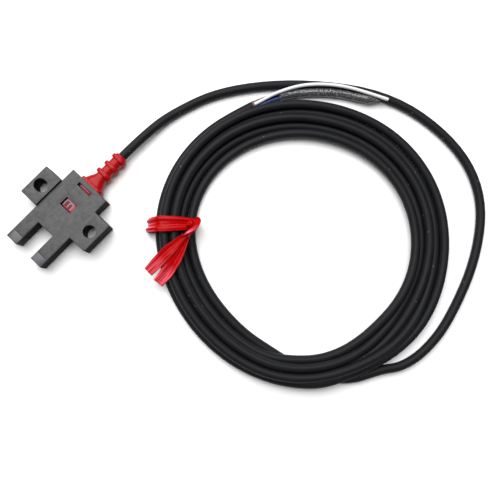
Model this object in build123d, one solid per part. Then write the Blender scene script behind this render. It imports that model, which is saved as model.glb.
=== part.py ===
from build123d import *
import math
import os

# Slot-type photoelectric sensor with a one-piece coiled cable.
# Millimetres. +Z up out of the indicator face, +Y from the sensing slot to the
# cable, +X towards the ear with the round hole. The back face lies on Z = 0.

os.makedirs("parts", exist_ok=True)

# ---- driving dimensions ----------------------------------------------------
SLOT_WIDTH = 5.0
SLOT_DEPTH = 7.7
BODY_WIDTH = 11.8
BODY_LENGTH = 23.3
BODY_HEIGHT = 5.0
EAR_SPAN = 22.2
EAR_LENGTH = 8.9
EAR_HEIGHT = 5.8
EAR_FROM_TIP = 10.35
HOLE_PITCH = 17.0
HOLE_D = 3.3
HOLE_STRETCH = 0.5
WALL = 0.8
THIN_WALL = 0.6
COVER_LIP = 0.3
FIT_GAP = 0.03
TIP_LENGTH = 2.55
TIP_SIDE_WALL = 0.6
EDGE = 0.15
CABLE_D = 2.4
LEAD_D = 0.92
BOOT_LENGTH = 11.0
BOOT_FLANGE = (6.8, 4.4, 0.8)
BOOT_NECK = (3.2, 3.0)
BOARD_T = 0.6
BOARD_Z = 1.9
GUIDE_Z = 3.78
WINDOW_RECESS = 0.65
BAR_RECESS = 0.45
COIL_CENTRE = (49.0, 33.9)
COIL_HEIGHT = 5.6

# ---- places that follow from them ------------------------------------------
TIP_Y = -(BODY_LENGTH + BOOT_LENGTH) / 2
END_Y = TIP_Y + BODY_LENGTH
EXIT_Y = END_Y + BOOT_LENGTH
SLOT_END_Y = TIP_Y + SLOT_DEPTH
EAR_Y = TIP_Y + EAR_FROM_TIP + EAR_LENGTH / 2
HALF_W = BODY_WIDTH / 2
HALF_SLOT = SLOT_WIDTH / 2
INNER_X = HALF_W - WALL
PRONG_INNER_X = HALF_SLOT + THIN_WALL
TIP_INNER_Y = TIP_Y + TIP_LENGTH
TIP_OUTER_X = HALF_W - TIP_SIDE_WALL
ROOF_Z = BODY_HEIGHT - WALL
CABLE_Z = BODY_HEIGHT / 2
CABLE_R = CABLE_D / 2
LEAD_R = LEAD_D / 2
BOARD_TOP = BOARD_Z + BOARD_T


def block(x0, x1, y0, y1, z0, z1):
    """Box between two corners."""
    box = Box(x1 - x0, y1 - y0, z1 - z0, align=(Align.MIN, Align.MIN, Align.MIN))
    return Pos(x0, y0, z0) * box


def both(shape):
    """A shape and its mirror image across the sensor's middle plane."""
    return shape + mirror(shape, about=Plane.YZ)


def save(shape, name):
    """Label a sub-part and write its STEP file."""
    shape.label = name
    export_step(shape, f"parts/{name}.step")
    return shape


def rounded_prism(width, length, height, radius, x=0, y=0, z=0):
    """Upright block with rounded vertical edges, its base centred on (x, y, z)."""
    return Pos(x, y, z) * extrude(RectangleRounded(width, length, radius), height)


# ---- front case: cross-shaped moulding, open at the back --------------------
def fork(outer_x, inner_x, tip_y, slot_y, end_y, z0, z1):
    """U-shaped slab: a body with two prongs, seen from above."""
    slab = block(-outer_x, outer_x, tip_y, end_y, z0, z1)
    return slab - block(-inner_x, inner_x, tip_y - 1, slot_y, z0 - 1, z1 + 1)


tip_pocket = block(HALF_SLOT - 1, TIP_OUTER_X, TIP_Y - 1, TIP_INNER_Y, -1, BODY_HEIGHT + 1)

WINDOW_X = -0.2
WINDOW_SIZE = (3.6, 2.5)
WINDOW_Y = TIP_Y + 15.95
BAR_SIZE = (4.4, 0.9)
BAR_Y = TIP_Y + 21.6
BAR_GAP = 0.4

body = fork(HALF_W, HALF_SLOT, TIP_Y, SLOT_END_Y, END_Y, 0, BODY_HEIGHT)
body = chamfer(body.edges().group_by(Axis.Z)[-1], EDGE)
ear = block(HALF_W - 2, EAR_SPAN / 2, EAR_Y - EAR_LENGTH / 2, EAR_Y + EAR_LENGTH / 2, 0, EAR_HEIGHT)
ear = fillet(ear.edges().filter_by(Axis.Z).group_by(Axis.X)[-1], 2 * EDGE)
ear = chamfer(ear.edges().group_by(Axis.Z)[-1].sort_by(Axis.X)[1:], EDGE)
ear -= block(0, HALF_W, -50, 50, -1, EAR_HEIGHT + 1)

round_hole = Pos(HOLE_PITCH / 2, EAR_Y, 0) * Cylinder(HOLE_D / 2, 40)
long_slot = SlotOverall(HOLE_D + HOLE_STRETCH, HOLE_D)
long_hole = Pos(-HOLE_PITCH / 2, EAR_Y, -1) * extrude(long_slot, EAR_HEIGHT + 2)

cavity = block(-INNER_X, INNER_X, SLOT_END_Y + WALL, END_Y - WALL, -1, ROOF_Z)
cavity += both(block(PRONG_INNER_X, INNER_X, TIP_INNER_Y - 1, SLOT_END_Y + WALL, -1, ROOF_Z))
rebate = fork(INNER_X + COVER_LIP, HALF_SLOT + COVER_LIP, TIP_INNER_Y, SLOT_END_Y + COVER_LIP,
              END_Y - WALL + COVER_LIP, -1, WALL)
neck_slot = block(-BOOT_NECK[0] / 2, BOOT_NECK[0] / 2, END_Y - WALL - 1, END_Y + 1, -1, WALL + BOOT_NECK[1])
window_hole = rounded_prism(*WINDOW_SIZE, 5, 0.12, WINDOW_X, WINDOW_Y, ROOF_Z - 1)
bar_hole = rounded_prism(*BAR_SIZE, 5, 0.1, WINDOW_X, BAR_Y, ROOF_Z - 1)

case_front = body + both(ear)
case_front = case_front - cavity - rebate - neck_slot - both(tip_pocket)
case_front = case_front - window_hole - bar_hole - round_hole - long_hole
save(case_front, "case_front")

# ---- back cover: flat U-shaped plate let into the back of the case ----------
cover = fork(INNER_X + COVER_LIP - FIT_GAP, HALF_SLOT + COVER_LIP + FIT_GAP, TIP_INNER_Y,
             SLOT_END_Y + COVER_LIP + FIT_GAP, END_Y - WALL + COVER_LIP - FIT_GAP, 0, WALL - FIT_GAP)
cover_tab = block(-BOOT_NECK[0] / 2, BOOT_NECK[0] / 2, END_Y - WALL, END_Y, 0, WALL - FIT_GAP)
save(cover + cover_tab, "case_back")

# ---- infrared windows: hollow inserts that form the prong tips --------------
insert_box = block(HALF_SLOT, TIP_OUTER_X, TIP_Y, TIP_INNER_Y, 0, BODY_HEIGHT)
tip_edges = insert_box.edges().group_by(Axis.Z)[-1].sort_by(Axis.Y)[0]
insert = chamfer(tip_edges, EDGE)
insert -= block(HALF_SLOT + 0.45, TIP_OUTER_X - 0.3, TIP_Y + 0.5, TIP_INNER_Y + 1, 1.0, BODY_HEIGHT - 0.6)
save(insert, "receiver_window")
save(mirror(insert, about=Plane.YZ), "emitter_window")

# ---- light guide: one red moulding behind both indicator windows ------------
guide = block(WINDOW_X - 2.05, WINDOW_X + 2.05, WINDOW_Y - 1.5, END_Y - WALL - FIT_GAP, GUIDE_Z, ROOF_Z)
guide_face_z = BODY_HEIGHT - WINDOW_RECESS
guide += rounded_prism(WINDOW_SIZE[0] - 2 * FIT_GAP, WINDOW_SIZE[1] - 2 * FIT_GAP, guide_face_z - GUIDE_Z, 0.1,
                       WINDOW_X, WINDOW_Y, GUIDE_Z)
guide += block(WINDOW_X - BAR_SIZE[0] / 2 + BAR_GAP, WINDOW_X + BAR_SIZE[0] / 2 - FIT_GAP,
               BAR_Y - BAR_SIZE[1] / 2 + FIT_GAP, BAR_Y + BAR_SIZE[1] / 2 - FIT_GAP, GUIDE_Z, BODY_HEIGHT - BAR_RECESS)
guide -= block(-HALF_W, HALF_W, END_Y - WALL - FIT_GAP, END_Y, 0, ROOF_Z)
guide = guide.cut(block(WINDOW_X - 1.1, WINDOW_X + 1.1, WINDOW_Y - 0.75, WINDOW_Y + 0.75, 0, GUIDE_Z + 0.25))
save(guide, "light_guide")

# ---- circuit board and its components ---------------------------------------
BOARD_END_Y = END_Y - 3.9
board = fork(INNER_X - 0.35, PRONG_INNER_X + 0.15, TIP_Y + 0.7, SLOT_END_Y + WALL + 0.2, BOARD_END_Y,
             BOARD_Z, BOARD_TOP)
board -= both(block(TIP_OUTER_X - 0.6, HALF_W, TIP_Y, TIP_INNER_Y + 0.2, 0, BODY_HEIGHT))
save(board, "circuit_board")


def side_emitter(lens_r):
    """Side-looking package standing on the right prong's board arm."""
    base = block(HALF_SLOT + 0.95, TIP_OUTER_X - 0.45, TIP_Y + 0.85, TIP_Y + 2.45, BOARD_TOP, BOARD_TOP + 1.75)
    lens = Pos(HALF_SLOT + 0.95, TIP_Y + 1.65, BOARD_TOP + 0.9) * Sphere(lens_r)
    lens = lens & block(HALF_SLOT + 0.5, HALF_SLOT + 0.95, TIP_Y, TIP_Y + 4, BOARD_TOP, BODY_HEIGHT)
    return base + lens


save(side_emitter(0.4), "phototransistor")
save(mirror(side_emitter(0.44), about=Plane.YZ), "infrared_led")


def chip(x, y, width, length, height):
    """Surface-mounted block on top of the board."""
    return rounded_prism(width, length, height, 0.08, x, y, BOARD_TOP)


detector = chip(0.2, SLOT_END_Y + 3.1, 2.6, 2.6, 0.9)
for side in (-1, 1):
    for row in (-0.8, 0, 0.8):
        leg = chip(0.2 + side * 1.65, SLOT_END_Y + 3.1 + row, 0.7, 0.3, 0.2)
        detector += leg
save(detector, "detector_chip")

transistor = chip(-3.1, WINDOW_Y - 0.9, 1.4, 2.6, 0.9)
for leg_x, leg_y in ((-0.9, -0.8), (-0.9, 0.8), (0.9, 0)):
    transistor += chip(-3.1 + leg_x, WINDOW_Y - 0.9 + leg_y, 0.6, 0.4, 0.2)
save(transistor, "output_transistor")

INDICATOR_BASE = 0.45
indicator = chip(WINDOW_X, WINDOW_Y, 1.6, 0.8, INDICATOR_BASE)
indicator += Pos(WINDOW_X, WINDOW_Y, BOARD_TOP + INDICATOR_BASE) * Cylinder(
    0.32, 0.4, align=(Align.CENTER, Align.CENTER, Align.MIN))
save(indicator, "indicator_led")

RESISTOR_PLACES = [(3.4, SLOT_END_Y + 1.8 + 1.1 * i) for i in range(5)]
save(Compound(children=[chip(x, y, 1.2, 0.6, 0.35) for x, y in RESISTOR_PLACES]), "chip_resistors")
CAPACITOR_PLACES = [(-3.3, SLOT_END_Y + 1.9 + 1.5 * i) for i in range(3)]
save(Compound(children=[chip(x, y, 1.6, 0.8, 0.7) for x, y in CAPACITOR_PLACES]), "chip_capacitors")

# ---- cable inside the case: jacket end, four cores and their solder joints ---
JACKET_END_Y = BOARD_END_Y + 1.3
PAD_Y = BOARD_END_Y - 1.5
CORE_NAMES = ("brown", "blue", "black", "white")
PAD_X = (-2.7, -0.8, 0.8, 2.7)
CORE_START = ((-0.56, 0.58), (-0.56, -0.56), (0.56, -0.56), (0.56, 0.58))

save(Pos(0, JACKET_END_Y, CABLE_Z) * Rot(-90, 0, 0) * Cylinder(
    CABLE_R, EXIT_Y - JACKET_END_Y, align=(Align.CENTER, Align.CENTER, Align.MIN)), "inner_cable")


def tube(points, radius, corner_radii):
    """Round bar along straight runs joined by tangent arcs."""
    path = FilletPolyline(*points, radius=corner_radii)
    section = Plane(origin=path @ 0, z_dir=path % 0) * Circle(radius)
    return sweep(section, path=path)


def corner_radii(points):
    """Largest even arcs that the runs on each side of a corner allow."""
    radii = []
    for before, corner, after in zip(points, points[1:], points[2:]):
        run_in = Vector(*corner) - Vector(*before)
        run_out = Vector(*after) - Vector(*corner)
        turn = math.radians(run_in.get_angle(run_out))
        radii.append(0.45 * min(run_in.length, run_out.length) / math.tan(turn / 2))
    return radii


INNER_CORE_R = 0.34
joints = []
for name, pad_x, (start_x, start_z) in zip(CORE_NAMES, PAD_X, CORE_START):
    level = BOARD_TOP + INNER_CORE_R + 0.05
    route = [(start_x, JACKET_END_Y, CABLE_Z + start_z),
             (start_x, JACKET_END_Y - 0.4, CABLE_Z + start_z),
             (pad_x, BOARD_END_Y + 0.1, level),
             (pad_x, PAD_Y - 0.3, level)]
    core = tube(route, INNER_CORE_R, [0.3, 0.5])
    joint = Pos(pad_x, PAD_Y - 0.45, BOARD_TOP) * Cone(0.5, 0.3, 0.7, align=(Align.CENTER, Align.CENTER, Align.MIN))
    joints.append(joint - core)
    save(core, f"inner_core_{name}")
save(Compound(children=joints), "solder_joints")

# ---- strain relief: soft red boot moulded over the cable --------------------
RING_FROM_BODY = (4.45, 7.05, 9.85)
RING_HALF_WIDTH = (2.38, 2.24, 2.2)
RING_HALF_HEIGHT = 1.95
RING_HALF_LENGTH = (0.72, 0.7, 1.0)
CORE_R = 1.62
CONE_END = 3.6
CONE_START = (2.75, 2.05)


def ellipse_at(y, half_x, half_z):
    """Elliptical section across the cable."""
    return Plane(origin=(0, y, CABLE_Z), x_dir=(1, 0, 0), z_dir=(0, 1, 0)) * Ellipse(half_x, half_z)


flange_w, flange_h, flange_t = BOOT_FLANGE
flange_plane = Plane(origin=(0, END_Y, CABLE_Z), x_dir=(1, 0, 0), z_dir=(0, 1, 0))
flange = flange_plane * RectangleRounded(flange_w, flange_h, 1.4)
boot = fillet(extrude(flange, flange_t).edges().group_by(Axis.Y)[-1], 0.25)
boot += loft([ellipse_at(END_Y + flange_t, *CONE_START), ellipse_at(END_Y + CONE_END, CORE_R, CORE_R)])
boot += Pos(0, END_Y + CONE_END, CABLE_Z) * Rot(-90, 0, 0) * Cylinder(
    CORE_R, BOOT_LENGTH - CONE_END, align=(Align.CENTER, Align.CENTER, Align.MIN))
for place, half_x, half_y in zip(RING_FROM_BODY, RING_HALF_WIDTH, RING_HALF_LENGTH):
    y = END_Y + place
    ring = loft([ellipse_at(y - half_y, half_x - 0.35, RING_HALF_HEIGHT - 0.3),
                 ellipse_at(y - half_y * 0.45, half_x, RING_HALF_HEIGHT),
                 ellipse_at(y + half_y * 0.45, half_x, RING_HALF_HEIGHT),
                 ellipse_at(y + half_y, half_x - 0.35, RING_HALF_HEIGHT - 0.3)], ruled=True)
    boot += ring
boot += block(-BOOT_NECK[0] / 2, BOOT_NECK[0] / 2, END_Y - WALL, END_Y, WALL, WALL + BOOT_NECK[1])
boot += block(-2.2, 2.2, END_Y - WALL - 0.8, END_Y - WALL, WALL, GUIDE_Z - 0.05)
boot -= Pos(0, 0, CABLE_Z) * Rot(-90, 0, 0) * Cylinder(CABLE_R, 80)
save(boot, "cable_boot")

# ---- coil: closed ring of the outer shape of the wound turns ----------------
# Radii every 30 degrees, counter-clockwise from +X, of the coil's two edges.
COIL_OUTER = (37.6, 37.5, 39.3, 39.4, 37.3, 37.0, 37.2, 38.4, 36.8, 36.4, 37.6, 38.0)
COIL_INNER = (28.6, 28.7, 28.8, 28.2, 27.4, 28.0, 28.7, 29.6, 27.7, 26.0, 29.2, 29.8)


def coil_point(degrees, radius, z=0.0):
    """Point of the coil from its angle and distance from the centre."""
    angle = math.radians(degrees)
    return (COIL_CENTRE[0] + radius * math.cos(angle), COIL_CENTRE[1] + radius * math.sin(angle), z)


def ring_face(radii):
    """Closed smooth outline through one radius every 30 degrees."""
    points = [coil_point(30 * i, r) for i, r in enumerate(radii)]
    return make_face(Spline(*points, periodic=True))


coil = extrude(ring_face(COIL_OUTER) - ring_face(COIL_INNER), COIL_HEIGHT)

# ---- ribbon tie round the coil ----------------------------------------------
TIE_ANGLE = 216
TIE_WIDTH = 3.9
TIE_WALL = 0.3
TIE_INNER_R = 28.9
TIE_OUTER_R = 40.3
KNOT_R = 1.9
TAIL_WIDTH = 2.6

tie_place = Location(coil_point(TIE_ANGLE, 0), (0, 0, TIE_ANGLE))
tie_hole = tie_place * block(TIE_INNER_R, TIE_OUTER_R, -TIE_WIDTH, TIE_WIDTH, TIE_WALL, COIL_HEIGHT + 0.1)
tie = tie_place * block(TIE_INNER_R - TIE_WALL, TIE_OUTER_R + TIE_WALL, -TIE_WIDTH / 2, TIE_WIDTH / 2,
                        0, COIL_HEIGHT + 0.1 + TIE_WALL)
tie -= tie_hole
knot = tie_place * (Pos(TIE_INNER_R - 0.9, 0.6, COIL_HEIGHT - 0.3) * Sphere(KNOT_R))
knot = knot - tie_hole - tie_place * block(TIE_INNER_R, 60, -9, 9, -1, COIL_HEIGHT + 0.1)
tie += knot
for tail_start, tail_end in (((26.6, 15.0), (25.8, 0.9)), ((27.2, 15.0), (29.7, 0.6))):
    middle = ((tail_start[0] + tail_end[0]) / 2, (tail_start[1] + tail_end[1]) / 2)
    heading = math.degrees(math.atan2(tail_end[1] - tail_start[1], tail_end[0] - tail_start[0]))
    length = math.dist(tail_start, tail_end)
    strip = Pos(*middle, COIL_HEIGHT + 0.1) * Rot(0, 0, heading) * Box(
        length, TAIL_WIDTH, TIE_WALL, align=(Align.CENTER, Align.CENTER, Align.MIN))
    tie += strip
coil -= tie
save(coil, "cable_coil")
save(tie, "ribbon_tie")

# ---- cable from the boot to the coil, and its free end outside the coil ------
LOOP_ROUTE = [(0, EXIT_Y, CABLE_Z), (0, 25.6, CABLE_Z), (0.9, 35.0, 1.25), (6.0, 49.0, 1.22), (20.5, 64.8, 1.22),
              (40.0, 79.3, 1.22), (61.0, 82.3, 1.22), (76.0, 76.5, 1.22), (85.8, 62.5, 1.22), (91.2, 45.0, 1.22),
              (91.8, 30.0, 1.22), (84.0, 15.0, 1.22), (71.0, 5.2, 1.22)]
END_ROUTE = [coil_point(204, 37.4, 1.22), coil_point(191, 38.9, 1.22), coil_point(178, 38.8, 1.22),
             coil_point(165, 38.9, 1.22), coil_point(152.5, 38.5, 1.22)]


def cable_tube(points, name, cutters):
    """Plain cable solid, cut flush where it meets other pieces, with its figures printed."""
    radii = corner_radii(points)
    solid = tube(points, CABLE_R, radii)
    path_length = FilletPolyline(*points, radius=radii).length
    expected = math.pi * CABLE_R ** 2 * path_length
    print(name, "length", round(path_length, 1), "volume ratio", round(solid.volume / expected, 4),
          "radii", [round(r, 1) for r in radii])
    for cutter in cutters:
        solid = solid - cutter
    return save(max(solid.solids(), key=lambda s: s.volume), name)


cable_tube(LOOP_ROUTE, "cable_loop", [coil])
cable_end = cable_tube(END_ROUTE, "cable_end", [coil, tie])

# ---- stripped cores at the free end -----------------------------------------
END_POINT = END_ROUTE[-1]
end_run = Vector(*END_ROUTE[-1]) - Vector(*END_ROUTE[-2])
AHEAD = end_run.normalized()
ASIDE = Vector(AHEAD.Y, -AHEAD.X, 0)


def from_end(ahead, aside, z):
    """Point near the cut end of the jacket."""
    place = Vector(END_POINT[0], END_POINT[1], 0) + AHEAD * ahead + ASIDE * aside
    return (place.X, place.Y, z)


LEAD_START_R = 0.66
SLEEVE_Z = 1.35
LEAD_NEST_R = 0.54
WHITE_ROUTE = [from_end(0, 0, CABLE_R + LEAD_START_R), from_end(2, 0, CABLE_R + LEAD_START_R), (17.0, 58.3, 2.9),
               (20.6, 65.2, 3.0), (26.6, 71.2, 3.0), (33.0, 74.9, 3.0), (39.4, 77.9, 2.95)]
SLEEVE_ROUTE = [(18.3, 58.7), (22.9, 62.6), (27.6, 66.4), (31.8, 69.6), (36.6, 72.6)]
SLEEVE_OUTER_R = 1.33
SLEEVE_INNER_R = 1.18


def beside(route, offset, z):
    """A route moved sideways by an offset, along the bisector at each corner."""
    moved = []
    for i, point in enumerate(route):
        before = Vector(*route[max(i - 1, 0)])
        after = Vector(*route[min(i + 1, len(route) - 1)])
        along = (after - before).normalized()
        moved.append((point[0] + along.Y * offset, point[1] - along.X * offset, z))
    return moved


BUNDLE = {"brown": (180, 150), "blue": (270, 270), "black": (0, 30)}
for name, (start_angle, nest_angle) in BUNDLE.items():
    start = Vector(LEAD_START_R, 0).rotate(Axis.Z, start_angle)
    nest = Vector(LEAD_NEST_R, 0).rotate(Axis.Z, nest_angle)
    route = [from_end(ahead, start.X, CABLE_R + start.Y) for ahead in (0, 2)]
    route += beside(SLEEVE_ROUTE, nest.X, SLEEVE_Z + nest.Y)
    lead = tube(route, LEAD_R, corner_radii(route))
    save(lead, f"lead_{name}")
white = tube(WHITE_ROUTE, LEAD_R, corner_radii(WHITE_ROUTE))
save(white, "lead_white")

# ---- clear sleeve over three of the cores ------------------------------------
sleeve_points = [(x, y, SLEEVE_Z) for x, y in SLEEVE_ROUTE]
sleeve_path = FilletPolyline(*sleeve_points, radius=corner_radii(sleeve_points))
section_plane = Plane(origin=sleeve_path @ 0, z_dir=sleeve_path % 0)
sleeve = sweep(section_plane * Circle(SLEEVE_OUTER_R), path=sleeve_path)
sleeve -= sweep(section_plane * Circle(SLEEVE_INNER_R), path=sleeve_path)
save(sleeve, "lead_sleeve")
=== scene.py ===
"""Slot-type photoelectric sensor lying flat, with its cable wound in a tied coil beside it."""
import math

import bmesh
import bpy
import numpy as np
from mathutils import Matrix, Vector


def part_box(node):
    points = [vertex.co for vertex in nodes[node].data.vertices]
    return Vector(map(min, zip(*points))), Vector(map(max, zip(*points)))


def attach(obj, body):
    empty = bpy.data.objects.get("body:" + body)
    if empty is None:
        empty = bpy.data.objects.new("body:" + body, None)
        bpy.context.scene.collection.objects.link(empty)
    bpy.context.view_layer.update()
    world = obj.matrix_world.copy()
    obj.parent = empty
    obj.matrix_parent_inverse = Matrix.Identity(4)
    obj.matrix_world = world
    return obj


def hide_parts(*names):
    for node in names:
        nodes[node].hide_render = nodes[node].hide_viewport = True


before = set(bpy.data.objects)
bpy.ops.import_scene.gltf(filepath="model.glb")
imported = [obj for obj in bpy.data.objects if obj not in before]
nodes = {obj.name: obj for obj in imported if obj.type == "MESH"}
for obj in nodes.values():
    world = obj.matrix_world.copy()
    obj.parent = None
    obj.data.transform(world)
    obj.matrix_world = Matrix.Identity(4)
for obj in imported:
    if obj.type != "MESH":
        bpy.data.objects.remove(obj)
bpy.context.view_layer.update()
scene = bpy.context.scene
MM = 0.001

# ---- Cable -----------------------------------------------------------------
# Four-core cable with an extruded black vinyl jacket. It leaves the boot, lies on the
# table in one wide sweep, passes under the coil to its inside and is wound outwards.
CABLE_D = 2.4 * MM
CABLE_R = CABLE_D / 2
COIL_CENTRE = np.array([49.0, 33.9]) * MM
LOOP_ROUTE = [(0, 17.15, 2.5), (0, 25.6, 2.5), (0.9, 35.0, 1.25), (6.0, 49.0, 1.22), (19.9, 65.5, 1.22),
              (39.7, 79.8, 1.22), (61.0, 82.3, 1.22), (76.0, 76.5, 1.22), (85.8, 62.5, 1.22),
              (91.2, 45.0, 1.22), (91.8, 35.0, 1.22), (90.0, 27.6, 1.22)]
# Radii of the wound bundle's two edges at every step of degrees, counter-clockwise from +X.
BUNDLE_STEP = 30.0
BUNDLE_OUTER = np.array([37.5, 37.3, 39.5, 39.2, 36.6, 38.3, 39.6, 39.9, 36.6, 36.3, 37.2, 37.6]) * MM
BUNDLE_INNER = np.array([28.6, 28.7, 28.8, 28.2, 26.9, 27.6, 28.7, 29.6, 27.0, 25.0, 29.8, 30.0]) * MM
STEPS_PER_TURN = 30
COIL_STEPS = 166
COIL_FROM = 344.0
CABLE_END = (152.5, 38.5 * MM)
SIX_TURNS_TO = 140.0            # between this angle and the entry six turns lie side by side
SIX_SHARES = (0, 0.30, 0.55, 0.72, 0.87, 1)
FIVE_SHARES = (0, 0.25, 0.5, 0.75, 1)
RAISED_OF_SIX = (2, 4)
RAISED_OF_FIVE = (0, 2, 4)
RAISED_BY = 0.8                 # of six turns side by side, in diameters
DIVE = (298.0, 334.0)           # the incoming turn goes under the others between these angles
DIVE_LEAN = 10.0                # before the end of the dive the incoming turn bends outwards
DIVE_OUTSIDE = 0.8              # and lies this many diameters outside the bundle
HUMP = 0.7                      # diameters by which the others rise over the dive
HUMP_BEFORE, HUMP_AFTER = 12.0, 8.0
SIX_BLEND = 25.0                # degrees over which five turns become six
SEAM_BLEND = 30.0               # and six become five, where one turn ends and the next begins
SEAM_AFTER = 12.0
SWAP_STEP = 7.0                 # turns change between low and high one after another
SWAP_OVER = 14.0
ON_TABLE = CABLE_R * 1.02

# The turns settle in sweeps: each is drawn to its lane, kept clear of its neighbours and stiff.
SETTLE_SWEEPS = 600
HOLD_FADE = 2.5
DRAWN_R, DRAWN_Z = 0.05, 0.04
CLEARANCE = 1.015
PUSH = 0.4
STIFF_R, STIFF_Z, LEAST_STIFF = 0.075, 0.15, 0.3


def eased(x):
    """Smooth step from 0 to 1."""
    x = min(max(x, 0.0), 1.0)
    return x * x * (3 - 2 * x)


def around(values, degrees):
    """Smooth closed interpolation between values that stand all round the bundle."""
    count = len(values)
    place = (degrees / BUNDLE_STEP) % count
    i = int(place)
    t = (1 - math.cos(math.pi * (place - i))) / 2
    return values[i % count] * (1 - t) + values[(i + 1) % count] * t


def coil_lane(step):
    """Angle, wanted radius and wanted height of one point of the winding."""
    angle = (COIL_FROM - step * 360.0 / STEPS_PER_TURN) % 360
    turn = step // STEPS_PER_TURN
    inner = around(BUNDLE_INNER, angle) + CABLE_R
    outer = around(BUNDLE_OUTER, angle) - CABLE_R
    low, high = DIVE
    if step < STEPS_PER_TURN // 2:
        share = eased((angle - low) / (high - low))
        outside = eased((angle - high + DIVE_LEAN) / (COIL_FROM - high + DIVE_LEAN))
        return angle, inner + (outer - inner) * share + outside * CABLE_D * DIVE_OUTSIDE, CABLE_R
    spacing = (outer - inner) / (len(FIVE_SHARES) - 1)
    step_up = math.sqrt(max(CABLE_D ** 2 - spacing ** 2, 0.0))
    if angle > COIL_FROM - SEAM_AFTER:
        turn_of_five = min(turn if step % STEPS_PER_TURN else turn - 1, 4)
    else:
        turn_of_five = min(turn, 4)
    six = eased((angle - SIX_TURNS_TO) / SIX_BLEND) if angle <= COIL_FROM else 0.0
    if COIL_FROM - SEAM_BLEND < angle <= COIL_FROM and turn > 0:
        six *= eased((COIL_FROM - angle) / SEAM_BLEND)
        turn_of_five = turn - 1
    share = FIVE_SHARES[turn_of_five] * (1 - six) + SIX_SHARES[min(turn, 5)] * six
    up_six = RAISED_BY * CABLE_D if turn in RAISED_OF_SIX else 0.0
    up_five = step_up if turn_of_five in RAISED_OF_FIVE else 0.0
    if angle > COIL_FROM:
        coming = step_up if turn + 1 in RAISED_OF_SIX else 0.0
        kept = eased((angle - COIL_FROM + SEAM_AFTER - SWAP_STEP * turn) / SWAP_OVER)
        up_five = up_five * kept + coming * (1 - kept)
    elif COIL_FROM - SEAM_BLEND < angle:
        up_five = up_six
    height = CABLE_R + up_five * (1 - six) + up_six * six
    if low - HUMP_BEFORE <= angle <= high + HUMP_AFTER:
        along = (angle - low + HUMP_BEFORE) / (high - low + HUMP_BEFORE + HUMP_AFTER)
        height += HUMP * CABLE_D * math.sin(math.pi * along)
    return angle, inner + (outer - inner) * share, height


def wound_turns():
    """Points of the coil: each turn in its lane, pushed clear of the turns that it touches."""
    steps = [coil_lane(i) for i in range(COIL_STEPS)]
    angles, lanes, levels = (np.array(row) for row in zip(*steps))
    radius, height = lanes.copy(), levels.copy()
    pairs = [(i, j) for i in range(COIL_STEPS)
             for j in range(i + STEPS_PER_TURN, COIL_STEPS, STEPS_PER_TURN)]
    first, second = np.array(pairs).T
    for sweep in range(SETTLE_SWEEPS):
        hold = min(1.0, HOLD_FADE * (1 - sweep / SETTLE_SWEEPS))
        radius += (lanes - radius) * DRAWN_R * hold
        height += (levels - height) * DRAWN_Z * hold
        apart_r = radius[second] - radius[first]
        apart_z = height[second] - height[first]
        gap = np.maximum(np.hypot(apart_r, apart_z), 0.001 * MM)
        push = np.maximum(CABLE_D * CLEARANCE - gap, 0) * PUSH / gap
        for index, sign in ((first, -1), (second, 1)):
            np.add.at(radius, index, sign * push * apart_r)
            np.add.at(height, index, sign * push * apart_z)
        stiff = max(hold, LEAST_STIFF)
        radius[1:-1] += STIFF_R * stiff * (radius[:-2] + radius[2:] - 2 * radius[1:-1])
        height[1:-1] += STIFF_Z * stiff * (height[:-2] + height[2:] - 2 * height[1:-1])
        height = np.maximum(height, ON_TABLE)
        height[:2] = ON_TABLE
    turns = [on_coil(a, r, z) for a, r, z in zip(angles, radius, height)]
    return turns + [on_coil(*CABLE_END, ON_TABLE)]


def polar(radius, degrees):
    """Flat point at a radius and an angle."""
    return radius * math.cos(math.radians(degrees)), radius * math.sin(math.radians(degrees))


def on_coil(degrees, radius, z):
    """Point at an angle and distance from the coil's centre."""
    x, y = polar(radius, degrees)
    return (COIL_CENTRE[0] + x, COIL_CENTRE[1] + y, z)


def in_scene(name, data):
    """New object with this data, linked to the scene."""
    piece = bpy.data.objects.new(name, data)
    scene.collection.objects.link(piece)
    return piece


def baked(piece):
    """Mesh that a piece's bevel or modifiers make; the piece itself is removed."""
    bpy.context.view_layer.update()
    mesh = bpy.data.meshes.new_from_object(piece.evaluated_get(bpy.context.evaluated_depsgraph_get()))
    bpy.data.objects.remove(piece)
    return mesh


def smooth_cord(name, points, radius, resolution, bevel):
    """Round NURBS cord through a list of control points, in metres."""
    data = bpy.data.curves.new(name, "CURVE")
    data.dimensions = "3D"
    data.bevel_depth = radius
    data.bevel_resolution = bevel
    data.resolution_u = resolution
    data.use_fill_caps = True
    spline = data.splines.new("NURBS")
    spline.points.add(len(points) - 1)
    for point, place in zip(spline.points, points):
        point.co = (*place, 1.0)
    spline.order_u = 3
    spline.use_endpoint_u = True
    spline.use_smooth = True
    return in_scene(name, data)


def centre_line(piece):
    """Points of a cord's own smooth line, in order."""
    bare = in_scene("bare_line", piece.data.copy())
    bare.data.bevel_depth = 0
    mesh = baked(bare)
    line = np.array([v.co for v in mesh.vertices], float)
    bpy.data.meshes.remove(mesh)
    return line


def line_length(line):
    """Length of a line of points."""
    return float(np.linalg.norm(np.diff(line, axis=0), axis=1).sum())


def feed(tree, socket, value):
    """Give a node's input a link or a plain value."""
    if hasattr(value, "is_output"):
        tree.links.new(value, socket)
    else:
        socket.default_value = value


def computed(tree, operation, *values, clamp=False):
    """Output of a math node fed by sockets or plain numbers."""
    node = tree.nodes.new("ShaderNodeMath")
    node.operation = operation
    node.use_clamp = clamp
    for socket, value in zip(node.inputs, values):
        feed(tree, socket, value)
    return node.outputs[0]


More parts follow.
